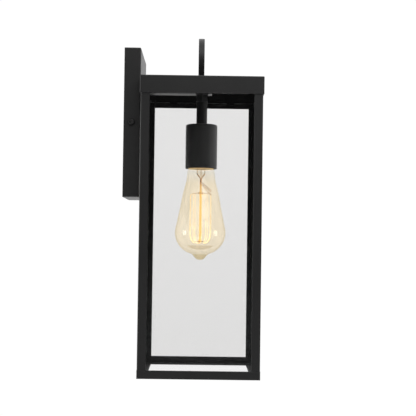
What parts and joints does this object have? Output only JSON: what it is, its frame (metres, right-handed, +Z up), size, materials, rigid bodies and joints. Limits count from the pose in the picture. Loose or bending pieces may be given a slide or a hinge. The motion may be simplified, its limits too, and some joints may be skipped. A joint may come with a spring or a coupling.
{
  "type": "outdoor wall lantern",
  "caption": "Square box lantern with clear glass panes and an open bottom on a wall backplate, with a hanging lamp holder, a tapered filament bulb and a ring on its cap.",
  "frame": {"origin": "centre of the backplate on the wall plane", "axes": "+Y into the wall, so the lantern stands out towards -Y; +Z up; +X along the wall"},
  "size_m": [0.1486, 0.1686, 0.4187],
  "materials": {
    "black_paint": "satin powder coat",
    "clear_glass": "clear polished",
    "amber_glass": "amber tinted, polished",
    "bulb_stem_glass": "clear, slightly amber",
    "zinc_steel": "zinc plated",
    "foam_rubber": "matte",
    "green_paint": "satin",
    "green_insulation": "satin",
    "black_insulation": "satin",
    "white_insulation": "satin",
    "connector_plastic": "satin",
    "porcelain": "glazed white porcelain",
    "nickel": "nickel plated",
    "brass": "plain",
    "black_glass": "black glass, glossy",
    "copper_wire": "plain copper",
    "filament": "glowing carbon"
  },
  "bodies": {
    "lantern": {"backplate": "black_paint", "bottom_rail_front": "black_paint", "bottom_rail_left": "black_paint", "bottom_rail_rear": "black_paint", "bottom_rail_right": "black_paint", "bridge_screws": "zinc_steel", "centre_contact": "brass", "contact_rivet": "brass", "crossbar": "zinc_steel", "cup_nut": "zinc_steel", "glass_clips": "black_paint", "glass_front": "clear_glass", "glass_left": "clear_glass", "glass_rear": "clear_glass", "glass_right": "clear_glass", "ground_ring_terminals": "zinc_steel", "ground_screw": "green_paint", "ground_stud": "zinc_steel", "ground_stud_nut": "zinc_steel", "ground_wire": "green_insulation", "live_wire": "black_insulation", "lock_washer": "black_paint", "mounting_nuts": "zinc_steel", "mounting_screws": "zinc_steel", "neutral_wire": "white_insulation", "post_front_left": "black_paint", "post_front_right": "black_paint", "post_rear_left": "black_paint", "post_rear_right": "black_paint", "ring_handle": "black_paint", "ring_screw": "zinc_steel", "ring_washer": "zinc_steel", "screw_shell": "nickel", "shell_rivets": "nickel", "socket_bridge": "zinc_steel", "socket_cup": "black_paint", "socket_insulator": "porcelain", "stem_nut": "black_paint", "stem_tube": "black_paint", "strap_bracket": "black_paint", "terminal_plates": "brass", "terminal_screws": "brass", "threaded_nipple": "zinc_steel", "top_cap": "black_paint", "top_lock_nut": "zinc_steel", "wall_gasket": "foam_rubber", "wire_connectors": "connector_plastic", "wire_grommet": "foam_rubber"},
    "bulb_travel": {"bulb_contact_tip": "nickel"},
    "bulb": {"bulb_glass": "amber_glass", "bulb_screw_base": "nickel", "bulb_insulator": "black_glass", "bulb_stem": "bulb_stem_glass", "bulb_centre_rod": "bulb_stem_glass", "bulb_lead_wires": "copper_wire", "bulb_supports": "copper_wire", "bulb_filament": "filament"},
    "left_side_screw": {"side_screw_left": "black_paint"},
    "right_side_screw": {"side_screw_right": "black_paint"}
  },
  "joints": [
    {"name": "bulb_drop", "type": "slide", "parent": "lantern", "child": "bulb_travel", "axis": [0, 0, -1], "range_m": [0, 0.02177]},
    {"name": "bulb_turn", "type": "hinge", "parent": "bulb_travel", "child": "bulb", "pos_m": [0, -0.0943, 0], "axis": [0, 0, -1], "range_deg": [0, 2160]},
    {"name": "left_screw_out", "type": "slide", "parent": "lantern", "child": "left_side_screw", "axis": [-1, 0, 0], "range_m": [0, 0.012]},
    {"name": "right_screw_out", "type": "slide", "parent": "lantern", "child": "right_side_screw", "axis": [1, 0, 0], "range_m": [0, 0.012]}
  ],
  "couplings": [
    {"joint": "bulb_turn", "follows": "bulb_drop", "rad_per_m": 1731.4}
  ]
}
